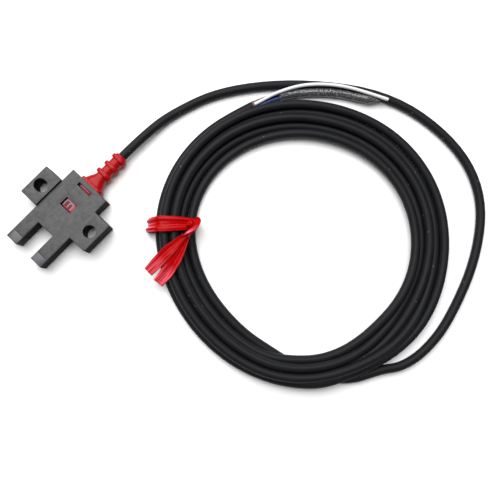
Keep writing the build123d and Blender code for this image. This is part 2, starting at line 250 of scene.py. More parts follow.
def tinted(tree, colour, amount, tint):
    """Colour mixed towards a tint, which is a socket or four plain numbers."""
    mix = tree.nodes.new("ShaderNodeMix")
    mix.data_type = "RGBA"
    feed(tree, mix.inputs["Factor"], amount)
    feed(tree, mix.inputs["A"], colour)
    feed(tree, mix.inputs["B"], tint)
    return mix.outputs["Result"]


def noise(tree, vector, scale, detail=2.0):
    """Value of a noise texture."""
    node = tree.nodes.new("ShaderNodeTexNoise")
    feed(tree, node.inputs["Vector"], vector)
    feed(tree, node.inputs["Scale"], scale)
    feed(tree, node.inputs["Detail"], detail)
    return node.outputs["Fac"]


def group_ends(tree, sockets, results):
    """Inner ends of a node group, from (label, kind, start value if any) and (label, kind)."""
    for label, kind, *start in sockets:
        socket = tree.interface.new_socket(label, in_out="INPUT", socket_type="NodeSocket" + kind)
        if start:
            socket.default_value = start[0]
    for label, kind in results:
        tree.interface.new_socket(label, in_out="OUTPUT", socket_type="NodeSocket" + kind)
    return tree.nodes.new("NodeGroupInput").outputs, tree.nodes.new("NodeGroupOutput").inputs


def skin_group():
    """Shader group: clouded colour, stray flecks, uneven gloss and fine grain of a moulded surface."""
    tree = bpy.data.node_groups.new("moulded skin", "ShaderNodeTree")
    given, made = group_ends(tree, (
        ("Vector", "Vector"), ("Colour", "Color"), ("Cloud Colour", "Color"),
        ("Cloud Scale", "Float"), ("Grain Scale", "Float"), ("Fleck Colour", "Color", (0.7, 0.7, 0.7, 1)),
        ("Fleck Scale", "Float", 900.0), ("Fleck Size", "Float", 0.05),
        ("Roughness", "Float", 0.5), ("Spread", "Float", 0.1)),
        (("Colour", "Color"), ("Roughness", "Float"), ("Height", "Float")))
    cloud = noise(tree, given["Vector"], given["Cloud Scale"], 3.0)
    fleck = tree.nodes.new("ShaderNodeTexVoronoi")
    feed(tree, fleck.inputs["Vector"], given["Vector"])
    feed(tree, fleck.inputs["Scale"], given["Fleck Scale"])
    inside = computed(tree, "LESS_THAN", fleck.outputs["Distance"], given["Fleck Size"])
    clouded = tinted(tree, given["Colour"], cloud, given["Cloud Colour"])
    feed(tree, made["Colour"], tinted(tree, clouded, inside, given["Fleck Colour"]))
    centred = computed(tree, "SUBTRACT", cloud, 0.5)
    gloss = computed(tree, "MULTIPLY_ADD", centred, given["Spread"], given["Roughness"])
    feed(tree, made["Roughness"], gloss)
    feed(tree, made["Height"], noise(tree, given["Vector"], given["Grain Scale"]))
    return tree


moulded_skin = skin_group()


def moulded(name, colour, cloud, relief=0.02, strength=0.5, shader=None, **skin):
    """Material with the moulded skin; shader values are plain numbers on the Principled BSDF."""
    material = bpy.data.materials.new(name)
    material.use_nodes = True
    tree = material.node_tree
    bsdf = tree.nodes["Principled BSDF"]
    place = tree.nodes.new("ShaderNodeTexCoord")
    group = tree.nodes.new("ShaderNodeGroup")
    group.node_tree = moulded_skin
    group.name = "skin"
    feed(tree, group.inputs["Vector"], place.outputs["Object"])
    feed(tree, group.inputs["Colour"], (*colour, 1))
    feed(tree, group.inputs["Cloud Colour"], (*cloud, 1))
    for label, value in skin.items():
        feed(tree, group.inputs[label.replace("_", " ").title()], value)
    bump = tree.nodes.new("ShaderNodeBump")
    feed(tree, bump.inputs["Distance"], relief * MM)
    feed(tree, bump.inputs["Strength"], strength)
    feed(tree, bump.inputs["Height"], group.outputs["Height"])
    feed(tree, bsdf.inputs["Base Color"], group.outputs["Colour"])
    feed(tree, bsdf.inputs["Roughness"], group.outputs["Roughness"])
    feed(tree, bsdf.inputs["Normal"], bump.outputs["Normal"])
    for label, value in (shader or {}).items():
        feed(tree, bsdf.inputs[label], value)
    return material


coil_turns = wound_turns()
cable_points = [tuple(np.array(p) * MM) for p in LOOP_ROUTE] + coil_turns
cable = smooth_cord("cable", cable_points, CABLE_R, resolution=6, bevel=6)
cable.data.materials.append(moulded(
    "black cable vinyl", (0.0065, 0.0065, 0.0075), (0.0115, 0.012, 0.0145), relief=0.03,
    strength=0.6, roughness=0.5, spread=0.12, cloud_scale=220.0, grain_scale=5200.0,
    fleck_colour=(0.32, 0.32, 0.33, 1), fleck_scale=420.0, fleck_size=0.035,
    shader={"Specular IOR Level": 0.12}))
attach(cable, "root")
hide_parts("cable_loop", "cable_coil", "cable_end")

# ---- Cut end of the jacket -------------------------------------------------
# The jacket is cut square by hand with a blade: a burred brownish edge round pale filler,
# out of which the cores come.
CUT_LENGTH = 0.5 * MM
JACKET_WALL = 0.3 * MM
BORE_R = CABLE_R - JACKET_WALL
RING_SEGMENTS = 40
CUT_SEED = 3
end_point = Vector(coil_turns[-1])
ahead = end_point - Vector(coil_turns[-2])
ahead.z = 0
ahead.normalize()
aside = Vector((ahead.y, -ahead.x, 0))


def skinned(mesh, rings):
    """Faces between rings of vertices, each ring joined to the next."""
    for ring, following in zip(rings, rings[1:]):
        for k in range(len(ring)):
            after = (k + 1) % len(ring)
            mesh.faces.new((ring[k], ring[after], following[after], following[k]))


def turned_ring(name, profile, origin, axis, wobble=0.0):
    """Closed body of revolution about an axis, from (distance along, radius) points."""
    draw = np.random.default_rng(CUT_SEED)
    side = axis.cross(Vector((0, 0, 1))).normalized()
    up = side.cross(axis)
    mesh = bmesh.new()
    rings = []
    for along, radius in profile:
        ring = []
        for k in range(RING_SEGMENTS):
            angle = 2 * math.pi * k / RING_SEGMENTS
            spread = radius * (1 + wobble * draw.uniform(-1, 1)) if radius > 0 else 0
            outwards = side * math.cos(angle) + up * math.sin(angle)
            ring.append(mesh.verts.new(origin + axis * along + outwards * spread))
        rings.append(ring)
    skinned(mesh, rings + rings[:1])
    bmesh.ops.remove_doubles(mesh, verts=mesh.verts, dist=1e-7)
    return finished(mesh, name)


def finished(mesh, name, smooth_angle=40):
    """Object from a bmesh, with outward faces and soft shading between shallow faces."""
    bmesh.ops.recalc_face_normals(mesh, faces=mesh.faces)
    data = bpy.data.meshes.new(name)
    mesh.to_mesh(data)
    mesh.free()
    data.shade_smooth()
    data.set_sharp_from_angle(angle=math.radians(smooth_angle))
    return in_scene(name, data)


jacket_cut = turned_ring("jacket_cut", [
    (-CUT_LENGTH, CABLE_R * 0.99), (-CUT_LENGTH * 0.5, CABLE_R * 1.012), (0.02 * MM, CABLE_R * 1.01),
    (0.06 * MM, CABLE_R - 0.12 * MM), (0.03 * MM, BORE_R), (-CUT_LENGTH, BORE_R)],
    end_point, ahead, wobble=0.006)
jacket_cut.data.materials.append(moulded(
    "cut vinyl edge", (0.075, 0.045, 0.04), (0.14, 0.085, 0.075), roughness=0.6,
    cloud_scale=1500.0, relief=0.05, grain_scale=4000.0))
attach(jacket_cut, "root")
filler = turned_ring("cable_filler", [
    (-CUT_LENGTH, 0), (-CUT_LENGTH, BORE_R), (0.01 * MM, BORE_R), (0.03 * MM, 0)], end_point, ahead)
filler.data.materials.append(moulded(
    "filler strands", (0.28, 0.25, 0.23), (0.08, 0.07, 0.07), roughness=0.8, cloud_scale=3500.0,
    grain_scale=9000.0, relief=0.05))
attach(filler, "root")

# ---- Stripped cores --------------------------------------------------------
# Four vinyl-insulated cores come out of the cut end. The white one is loose and lies on
# the outer run of the cable; brown, blue and black go together into a clear sleeve.
LEAD_D = 0.92 * MM
LEAD_START_R = 0.66             # of the cores' places round the cable's middle at the cut, in mm
LEAD_NEST_R = 0.54              # and inside the sleeve
CUT_Z = 1.2
SLEEVE_Z = 1.35
STRAIGHT_OUT = 2
WHITE_FROM_JACKET = [(17.2, 58.2, 2.9), (20.9, 64.8, 3.0), (27.1, 70.7, 3.0), (33.5, 74.4, 3.0),
                     (39.9, 77.4, 2.95)]
SLEEVE_ROUTE = [(18.1, 58.4), (22.3, 63.6), (26.2, 67.7), (30.4, 71.0), (35.2, 73.7)]
LEADS = {"brown": (180, 150), "blue": (0, 30), "black": (270, 270)}   # angles at cut and in sleeve
LEAD_COLOURS = {"brown": (0.13, 0.035, 0.02), "blue": (0.01, 0.045, 0.17),
                "black": (0.015, 0.015, 0.017), "white": (0.74, 0.75, 0.77)}


def from_end(along, sideways, z):
    """Point near the cut end of the jacket, in metres from millimetres."""
    place = end_point + ahead * along * MM + aside * sideways * MM
    return Vector((place.x, place.y, z * MM))


def beside(route, offset, z):
    """A flat route moved sideways by an offset, at one height."""
    moved = []
    for i, point in enumerate(route):
        before = Vector(route[max(i - 1, 0)])
        after = Vector(route[min(i + 1, len(route) - 1)])
        along = (after - before).normalized()
        moved.append(Vector((point[0] + along.y * offset, point[1] - along.x * offset, z)) * MM)
    return moved


lead_routes = {"white": [from_end(along, 0, CUT_Z + LEAD_START_R) for along in (0, STRAIGHT_OUT)]
               + [Vector(p) * MM for p in WHITE_FROM_JACKET]}
for colour, (start_angle, nest_angle) in LEADS.items():
    start, nest = polar(LEAD_START_R, start_angle), polar(LEAD_NEST_R, nest_angle)
    lead_routes[colour] = [from_end(along, start[0], CUT_Z + start[1]) for along in (0, STRAIGHT_OUT)]
    lead_routes[colour] += beside(SLEEVE_ROUTE, nest[0], SLEEVE_Z + nest[1])
leads = {}
for colour, route in lead_routes.items():
    lead = smooth_cord(f"lead_{colour}_wire", route, LEAD_D / 2, resolution=10, bevel=5)
    tint = LEAD_COLOURS[colour]
    lead.data.materials.append(moulded(
        f"{colour} core vinyl", tint, [c * 0.82 for c in tint], roughness=0.24, spread=0.1,
        cloud_scale=700.0, grain_scale=4000.0, relief=0.015, fleck_scale=500.0, fleck_size=0.02,
        shader={"Specular IOR Level": 0.3}))
    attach(lead, "root")
    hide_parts(f"lead_{colour}")
    leads[colour] = lead

# ---- Clear sleeve ----------------------------------------------------------
# Soft smoke-tinted vinyl tube pushed over three cores; its far end is pressed flat and
# pulled to a point that rides up on the cable beside it.
SLEEVE_LINE = [(18.0, 58.1, 1.35), (19.6, 60.5, 1.35), (22.4, 63.8, 1.4), (26.2, 67.7, 1.4),
               (30.4, 71.0, 1.4), (34.6, 73.3, 1.5), (38.6, 75.9, 2.5)]
SLEEVE_SECTIONS = 64
SLEEVE_SEGMENTS = 32
SLEEVE_OUTER_R = 1.14
MOUTH_FLARE, FLARE_FADE = 0.1, 30
PINCH_FROM = 0.87               # share of the length at which the pressed end begins
PINCHED_WIDTH, PINCHED_HEIGHT = 0.12, 0.06
DENT_ROWS = 12
DENT_DEPTH = 0.025
DENT_SEED = 5


def sleeve_half_sizes(t):
    """Half width and half height of the sleeve, in millimetres, from its open to its pinched end."""
    mouth = 1.0 + MOUTH_FLARE * math.exp(-t * FLARE_FADE)
    full = 1 - eased((t - PINCH_FROM) / (1 - PINCH_FROM))
    width = SLEEVE_OUTER_R * mouth * (PINCHED_WIDTH + (1 - PINCHED_WIDTH) * full ** 0.6)
    height = SLEEVE_OUTER_R * mouth * (PINCHED_HEIGHT + (1 - PINCHED_HEIGHT) * full)
    return width, height


def sleeve_tube():
    """Open tube with a dented elliptical section that changes along its line."""
    guide = smooth_cord("guide", [Vector(p) * MM for p in SLEEVE_LINE], 0, resolution=24, bevel=0)
    path = centre_line(guide)
    bpy.data.objects.remove(guide)
    run = np.concatenate([[0], np.cumsum(np.linalg.norm(np.diff(path, axis=0), axis=1))])

    def at(share):
        """Point of the line at a share of its length."""
        return Vector([float(np.interp(share * run[-1], run, path[:, k])) for k in range(3)])

    dents = np.random.default_rng(DENT_SEED).normal(0, 1, (DENT_ROWS, SLEEVE_SEGMENTS))
    mesh = bmesh.new()
    rings = []
    for s in range(SLEEVE_SECTIONS + 1):
        t = s / SLEEVE_SECTIONS
        along = (at(min(t + 0.01, 1)) - at(max(t - 0.01, 0))).normalized()
        side = along.cross(Vector((0, 0, 1))).normalized()
        up = side.cross(along)
        width, height = sleeve_half_sizes(t)
        ring = []
        for k in range(SLEEVE_SEGMENTS):
            angle = 2 * math.pi * k / SLEEVE_SEGMENTS
            dent = DENT_DEPTH * float(np.interp(t * (DENT_ROWS - 1), range(DENT_ROWS), dents[:, k]))
            place = side * math.cos(angle) * (width + dent) + up * math.sin(angle) * (height + dent)
            ring.append(mesh.verts.new(at(t) + place * MM))
        rings.append(ring)
    skinned(mesh, rings)
    mesh.faces.new(rings[-1])
    return mesh


def ranged(tree, value, **limits):
    """Value mapped between two ranges; limits name the inputs that aren't 0 or 1 already."""
    node = tree.nodes.new("ShaderNodeMapRange")
    feed(tree, node.inputs["Value"], value)
    for label, limit in limits.items():
        feed(tree, node.inputs[label.replace("_", " ").title()], limit)
    return node.outputs["Result"]


sleeve = finished(sleeve_tube(), "clear_sleeve", smooth_angle=80)
sleeve_wall = sleeve.modifiers.new("wall", "SOLIDIFY")
sleeve_wall.thickness = 0.14 * MM
sleeve_wall.offset = -1
# The large pale flecks on this smoke vinyl are painted glints.
smoke = moulded(
    "smoke sleeve vinyl", (0.015, 0.015, 0.016), (0.16, 0.16, 0.165), roughness=0.09, spread=0.1,
    cloud_scale=1500.0, grain_scale=1300.0, relief=0.2, strength=0.9, fleck_colour=(0.6, 0.6, 0.6, 1),
    fleck_scale=2100.0, fleck_size=0.2, shader={"Specular IOR Level": 0.75})
facing = smoke.node_tree.nodes.new("ShaderNodeLayerWeight")
facing.inputs["Blend"].default_value = 0.35
solid = ranged(smoke.node_tree, facing.outputs["Facing"], to_min=0.5, to_max=0.97)
feed(smoke.node_tree, smoke.node_tree.nodes["Principled BSDF"].inputs["Alpha"], solid)
sleeve.data.materials.append(smoke)
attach(sleeve, "root")
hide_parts("lead_sleeve")

# ---- Bare wire at the core ends --------------------------------------------
# Each core is seven fine copper wires in its vinyl; only the white core's cut end shows
# them, a little proud of the insulation.
WIRES_ROUND_MIDDLE = 6
WIRE_D = 0.16 * MM
WIRE_PITCH = 2.05               # from the middle wire to the ring, in wire radii


def realized(tree, instances, material):
    """Real geometry of instances, with a material on it."""
    real = tree.nodes.new("GeometryNodeRealizeInstances")
    painted = tree.nodes.new("GeometryNodeSetMaterial")
    feed(tree, real.inputs["Geometry"], instances)
    feed(tree, painted.inputs["Geometry"], real.outputs["Geometry"])
    feed(tree, painted.inputs["Material"], material)
    return painted.outputs["Geometry"]


def wire_bundle_tree():
    """Geometry Nodes: short wires standing in a ring round a middle one."""
    tree = bpy.data.node_groups.new("cut wires", "GeometryNodeTree")
    tree.is_modifier = True
    given, made = group_ends(tree, (
        ("Wires", "Int"), ("Wire Radius", "Float"), ("Length", "Float"), ("Copper", "Material")),
        (("Geometry", "Geometry"),))
    ring = tree.nodes.new("GeometryNodeMeshCircle")
    feed(tree, ring.inputs["Vertices"], given["Wires"])
    feed(tree, ring.inputs["Radius"], computed(tree, "MULTIPLY", given["Wire Radius"], WIRE_PITCH))
    wire = tree.nodes.new("GeometryNodeMeshCylinder")
    feed(tree, wire.inputs["Vertices"], 12)
    feed(tree, wire.inputs["Radius"], given["Wire Radius"])
    feed(tree, wire.inputs["Depth"], given["Length"])
    placed = tree.nodes.new("GeometryNodeInstanceOnPoints")
    feed(tree, placed.inputs["Points"], ring.outputs["Mesh"])
    feed(tree, placed.inputs["Instance"], wire.outputs["Mesh"])
    both = tree.nodes.new("GeometryNodeJoinGeometry")
    feed(tree, both.inputs["Geometry"], placed.outputs["Instances"])
    feed(tree, both.inputs["Geometry"], wire.outputs["Mesh"])
    feed(tree, made["Geometry"], realized(tree, both.outputs["Geometry"], given["Copper"]))
    return tree


def grown(name, tree, inputs, matrix):
    """Plain mesh piece from a Geometry Nodes tree, its inputs set by socket identifier."""
    holder = in_scene(name + "_holder", bpy.data.meshes.new(name))
    modifier = holder.modifiers.new("grow", "NODES")
    modifier.node_group = tree
    for item in tree.interface.items_tree:
        if item.item_type == "SOCKET" and item.in_out == "INPUT" and item.name in inputs:
            modifier[item.identifier] = inputs[item.name]
    data = baked(holder)
    data.transform(matrix)
    data.name = name
    return in_scene(name, data)


copper = moulded("copper wire", (0.72, 0.33, 0.16), (0.55, 0.22, 0.1), roughness=0.3,
                 cloud_scale=3000.0, grain_scale=9000.0, relief=0.01, shader={"Metallic": 1.0})
white_line = centre_line(leads["white"])
white_tip = Vector(white_line[-1])
white_ahead = (white_tip - Vector(white_line[-3])).normalized()
stand = Matrix.Translation(white_tip) @ white_ahead.to_track_quat("Z", "Y").to_matrix().to_4x4()
core_wires = grown("white_core_wires", wire_bundle_tree(), {
    "Wires": WIRES_ROUND_MIDDLE, "Wire Radius": WIRE_D / 2, "Length": 0.36 * MM, "Copper": copper},
    stand)
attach(core_wires, "root")

for colour, lead in leads.items():
    line_length(centre_line(lead))

# ---- Floor, light and camera -----------------------------------------------
# Plain white table under one large soft light and a small low one that picks out the
# rounded edges, seen from almost straight above.
CAMERA_PLACE = Vector((44.49, 6.16, 150.28)) * MM
CAMERA_TURN = [math.radians(a) for a in (6.14, -2.664, 43.297)]
CAMERA_LENS = 42.47

floor_mesh = bpy.data.meshes.new("floor")
floor_mesh.from_pydata([(-1, -1, 0), (1, -1, 0), (1, 1, 0), (-1, 1, 0)], [], [(0, 1, 2, 3)])
floor = in_scene("floor", floor_mesh)
floor_paint = bpy.data.materials.new("white table")
floor_paint.use_nodes = True
floor_inputs = floor_paint.node_tree.nodes["Principled BSDF"].inputs
floor_inputs["Base Color"].default_value = (0.95, 0.95, 0.95, 1)
floor_inputs["Roughness"].default_value = 0.7
floor_mesh.materials.append(floor_paint)

world = bpy.data.worlds.new("studio")
scene.world = world
world.use_nodes = True
sky = world.node_tree.nodes["Background"].inputs
sky["Color"].default_value = (1, 1, 1, 1)
sky["Strength"].default_value = 0.16


def soft_light(name, place, target, size, watts):
    """Square area light aimed at a point."""
    data = bpy.data.lights.new(name, "AREA")
    data.size = size
    data.energy = watts
    light = in_scene(name, data)
    light.location = place
    light.rotation_euler = (Vector(target) - Vector(place)).to_track_quat("-Z", "Y").to_euler()


soft_light("key", place=(-0.17, 0.14, 0.48), target=(0.045, 0.035, 0), size=0.55, watts=5.3)
soft_light("edge", place=(-0.24, 0.05, 0.16), target=(0.01, 0.02, 0), size=0.04, watts=0.14)

camera_data = bpy.data.cameras.new("camera")
camera_data.lens = CAMERA_LENS
camera_data.sensor_width = 36
camera = in_scene("camera", camera_data)
camera.location = CAMERA_PLACE
camera.rotation_euler = CAMERA_TURN
scene.camera = camera
scene.view_settings.view_transform = "Standard"

# ---- Strain relief boot ----------------------------------------------------
# One soft red vinyl moulding over the cable: a thin flange against the case, a cone, and
# a core with three flat-topped ribs that stick out on both sides so that it can bend.
END_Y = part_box("case_front")[1].y
BOOT_AXIS_Z = 2.5 * MM
ON_CASE_END = Matrix.Translation((0, END_Y, BOOT_AXIS_Z))
FLANGE_AND_CONE = [                 # distance from the case, half width, half height, squareness
    (0, 3.3, 2.1, 4), (0, 3.4, 2.2, 4.2), (0.3, 3.4, 2.2, 4.2), (0.62, 3.36, 2.17, 4),
    (0.78, 3.22, 2.05, 3.6), (0.84, 2.84, 1.98, 2.8), (0.95, 2.8, 1.97, 2.6), (1.3, 2.7, 1.95, 2.4),
    (1.8, 2.47, 1.9, 2.3), (2.4, 2.12, 1.82, 2.2), (3.0, 1.83, 1.75, 2.1), (3.6, 1.66, 1.7, 2.1)]
CORE = [(y, 1.62, 1.7 - 0.012 * (y - 3.6), 2.1) for y in (4.2, 5.0, 5.8, 6.6, 7.4, 8.2, 9.0)]
FAR_END = [(10.4, 1.66, 1.66, 2.1), (10.8, 1.62, 1.62, 2.1), (10.96, 1.5, 1.5, 2), (11.0, 1.32, 1.32, 2)]
RIB = [(-0.66, 1.7, 1.55), (-0.64, 1.95, 1.78), (-0.52, 2.2, 1.9), (-0.3, 2.32, 1.94), (0, 2.36, 1.95),
       (0.3, 2.32, 1.94), (0.52, 2.2, 1.9), (0.64, 1.95, 1.78), (0.66, 1.7, 1.55)]
RIB_SQUARENESS = 2.6
OUTLINE_POINTS = 56
RIB_FIRST = 4.45 * MM
RIB_PITCH = 2.7 * MM
RIB_COUNT = 3
RIB_SHRINK = 0.035
DIMPLE_DEPTH = 0.28
DIMPLE_FROM, DIMPLE_OVER = 2.05, 0.25
DIMPLE_HALF_Y, DIMPLE_HALF_Z = 0.4, 0.7


def squircle(half_x, half_z, power):
    """Outline points of a rounded section, counter-clockwise."""
    points = []
    for k in range(OUTLINE_POINTS):
        angle = 2 * math.pi * k / OUTLINE_POINTS
        c, s = math.cos(angle), math.sin(angle)
        points.append((half_x * math.copysign(abs(c) ** (2 / power), c),
                       half_z * math.copysign(abs(s) ** (2 / power), s)))
    return points


def lofted(name, stations, smooth_angle, dimple=0.0):
    """Closed skin through (y, half x, half z, squareness) sections in mm, dimpled at both sides."""
    mesh = bmesh.new()
    rings = []
    for y, half_x, half_z, power in stations:
        ring = []
        for x, z in squircle(half_x, half_z, power):
            tip = eased((abs(x) - DIMPLE_FROM) / DIMPLE_OVER)
            tip *= (1 - min(abs(z) / DIMPLE_HALF_Z, 1)) * (1 - min(abs(y) / DIMPLE_HALF_Y, 1))
            ring.append(mesh.verts.new(Vector((x - math.copysign(dimple * tip, x), y, z)) * MM))
        rings.append(ring)
    skinned(mesh, rings)
    mesh.faces.new(rings[0])
    mesh.faces.new(rings[-1])
    return finished(mesh, name, smooth_angle)


def ribs_tree():
    """Geometry Nodes: one rib repeated along the boot, each a little smaller than the last."""
    tree = bpy.data.node_groups.new("boot ribs", "GeometryNodeTree")
    tree.is_modifier = True
    given, made = group_ends(tree, (
        ("Rib", "Object"), ("Count", "Int"), ("First", "Float"), ("Pitch", "Float"),
        ("Shrink", "Float"), ("Vinyl", "Material")), (("Geometry", "Geometry"),))
    start, step = (tree.nodes.new("ShaderNodeCombineXYZ") for _ in range(2))
    feed(tree, start.inputs["Y"], given["First"])
    feed(tree, step.inputs["Y"], given["Pitch"])
    line = tree.nodes.new("GeometryNodeMeshLine")
    feed(tree, line.inputs["Count"], given["Count"])
    feed(tree, line.inputs["Start Location"], start.outputs[0])
    feed(tree, line.inputs["Offset"], step.outputs[0])
    rib = tree.nodes.new("GeometryNodeObjectInfo")
    feed(tree, rib.inputs["Object"], given["Rib"])
    index = tree.nodes.new("GeometryNodeInputIndex").outputs[0]
    smaller = computed(tree, "MULTIPLY", index, given["Shrink"])
    placed = tree.nodes.new("GeometryNodeInstanceOnPoints")
    feed(tree, placed.inputs["Points"], line.outputs["Mesh"])
    feed(tree, placed.inputs["Instance"], rib.outputs["Geometry"])
    feed(tree, placed.inputs["Scale"], computed(tree, "SUBTRACT", 1.0, smaller))
    feed(tree, made["Geometry"], realized(tree, placed.outputs["Instances"], given["Vinyl"]))
    return tree


boot_red = moulded(
    "red boot vinyl", (0.38, 0.003, 0.005), (0.28, 0.0015, 0.003), roughness=0.28, spread=0.12,
    cloud_scale=500.0, grain_scale=3800.0, relief=0.03, fleck_scale=800.0, fleck_size=0.02,
    shader={"Specular IOR Level": 0.15})
boot = lofted("strain_boot", FLANGE_AND_CONE + CORE + FAR_END, smooth_angle=35)
boot.data.transform(ON_CASE_END)
boot.data.materials.append(boot_red)
rib_pattern = lofted("rib_pattern", [(*row, RIB_SQUARENESS) for row in RIB], 50, DIMPLE_DEPTH)
boot_ribs = grown("boot_ribs", ribs_tree(), {
    "Rib": rib_pattern, "Count": RIB_COUNT, "First": RIB_FIRST, "Pitch": RIB_PITCH,
    "Shrink": RIB_SHRINK, "Vinyl": boot_red}, ON_CASE_END)
bpy.data.objects.remove(rib_pattern)
for piece in (boot, boot_ribs):
    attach(piece, "root")
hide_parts("cable_boot")

# ---- Ribbon tie ------------------------------------------------------------
# A flat red vinyl ribbon is laid once round the coil, gathered into pleats, twisted
# together at the inside of the coil, and its two ends are left as pleated tails.
RIBBON_T = 0.16
TIE_ANGLE = 216.4
BAND_PATH = [(30.5, 0.2), (38.4, 0.2), (40.2, 0.5), (40.5, 1.7), (39.6, 3.4), (37.6, 5.05),
             (35.6, 5.25), (33.4, 5.15), (31.0, 4.7), (29.2, 4.3), (28.0, 3.3), (27.9, 1.6),
             (28.6, 0.5), (30.5, 0.2)]      # distance from the coil's centre, height
BAND_LEAN = 0.14                # the band does not run quite towards the coil's centre
BAND_PIVOT = 31.0
WANDER, WANDER_RATE = 0.9, 3.1  # the pleats wander sideways along the strip
SECOND_PLEATS, SECOND_FOLDS = 0.3, 2.3
CREASE, CREASE_ALONG, CREASE_ACROSS = 0.05, 26, 7
RIPPLE, RIPPLE_RATE = 0.02, 19  # of the strip's width
SPLIT = 24                      # pieces of each span of a smooth curve
POINTS_ACROSS = 29


def spline_through(points, count):
    """Evenly spaced points of a smooth curve through the given ones."""
    points = [np.array(p, float) for p in points]
    padded = [2 * points[0] - points[1]] + points + [2 * points[-1] - points[-2]]
    fine = []
    for a, b, c, d in zip(padded, padded[1:], padded[2:], padded[3:]):
        for k in range(SPLIT):
            t = k / SPLIT
            fine.append(0.5 * (2 * b + (c - a) * t + (2 * a - 5 * b + 4 * c - d) * t ** 2
                               + (3 * b - a - 3 * c + d) * t ** 3))
    fine.append(points[-1])
    fine = np.array(fine)
    run = np.concatenate([[0], np.cumsum(np.linalg.norm(np.diff(fine, axis=0), axis=1))])
    even = np.linspace(0, run[-1], count)
    return np.stack([np.interp(even, run, fine[:, k]) for k in range(fine.shape[1])], axis=1)


def pleated_strip(name, path, across, widths, depths, folds, seed, stations=90, twist=0.0):
    """Pleated ribbon along a path in mm, its width laid across; depths are the pleats' heights."""
    draw = np.random.default_rng(seed)
    phases = draw.uniform(0, 2 * math.pi, 3)
    line = spline_through(path, stations)
    mesh = bmesh.new()
    layer = mesh.loops.layers.uv.new("UVMap")
    rows = []
    for s in range(stations):
        t = s / (stations - 1)
        along = Vector(line[min(s + 1, stations - 1)] - line[max(s - 1, 0)]).normalized()
        wide = Vector(across)
        wide = (wide - along * wide.dot(along)).normalized()
        if twist:
            wide = Matrix.Rotation(twist * t * 2 * math.pi, 3, along) @ wide
        normal = along.cross(wide)
        width = float(np.interp(t, *zip(*widths)))
        depth = float(np.interp(t, *zip(*depths)))
        row = []
        for k in range(POINTS_ACROSS):
            u = 2 * k / (POINTS_ACROSS - 1) - 1
            wandered = phases[0] + WANDER * math.sin(WANDER_RATE * t + phases[1])
            wave = math.cos(math.pi * folds * u + wandered)
            wave += SECOND_PLEATS * math.sin(math.pi * folds * SECOND_FOLDS * u + phases[2] + 3 * t)
            wave += CREASE * math.sin(CREASE_ALONG * t + CREASE_ACROSS * u + phases[1])
            aside_by = u * width / 2 * (1 + RIPPLE * math.sin(RIPPLE_RATE * t))
            place = Vector(line[s]) + wide * aside_by + normal * depth * wave
            row.append(mesh.verts.new(place * MM))
        rows.append(row)
    for s, (row, following) in enumerate(zip(rows, rows[1:])):
        for k in range(POINTS_ACROSS - 1):
            face = mesh.faces.new((row[k], row[k + 1], following[k + 1], following[k]))
            corners = ((k, s), (k + 1, s), (k + 1, s + 1), (k, s + 1))
            for loop, (i, j) in zip(face.loops, corners):
                loop[layer].uv = (i / (POINTS_ACROSS - 1), j / (stations - 1))
    data = bpy.data.meshes.new(name)
    mesh.to_mesh(data)
    mesh.free()
    data.shade_smooth()
    piece = in_scene(name, data)
    wall = piece.modifiers.new("film", "SOLIDIFY")
    wall.thickness = RIBBON_T * MM
    wall.offset = 0
    return piece


def ribbon_vinyl(name, painted_highlight_at, painted_highlight_width):
    """Red vinyl film with paler streaks round one place along the strip, as painted highlight."""
    material = moulded(name, (0.42, 0.0008, 0.002), (0.30, 0.0005, 0.001), roughness=0.22, spread=0.1,
                       cloud_scale=600.0, grain_scale=1500.0, relief=0.04, fleck_scale=900.0,
                       fleck_size=0.01, shader={"Specular IOR Level": 0.09})
    tree = material.node_tree
    flat = tree.nodes.new("ShaderNodeUVMap")
    flat.uv_map = "UVMap"
    stretch = tree.nodes.new("ShaderNodeMapping")
    feed(tree, stretch.inputs["Scale"], (3.4, 0.5, 1.0))
    feed(tree, stretch.inputs["Vector"], flat.outputs["UV"])
    split = tree.nodes.new("ShaderNodeSeparateXYZ")
    feed(tree, split.inputs["Vector"], flat.outputs["UV"])
    away = computed(tree, "ABSOLUTE", computed(tree, "SUBTRACT", split.outputs["Y"], painted_highlight_at))
    fade = ranged(tree, away, from_max=painted_highlight_width, to_min=1.0, to_max=0.0)
    # The paler streaks are painted highlight on the pleats, fading away from one place along the strip.
    streak = ranged(tree, noise(tree, stretch.outputs["Vector"], 2.2), from_min=0.46, from_max=0.62)
    amount = computed(tree, "MULTIPLY", streak, fade)
    pale = tinted(tree, tree.nodes["skin"].outputs["Colour"], amount, (0.95, 0.17, 0.24, 1))
    feed(tree, tree.nodes["Principled BSDF"].inputs["Base Color"], pale)
    return material


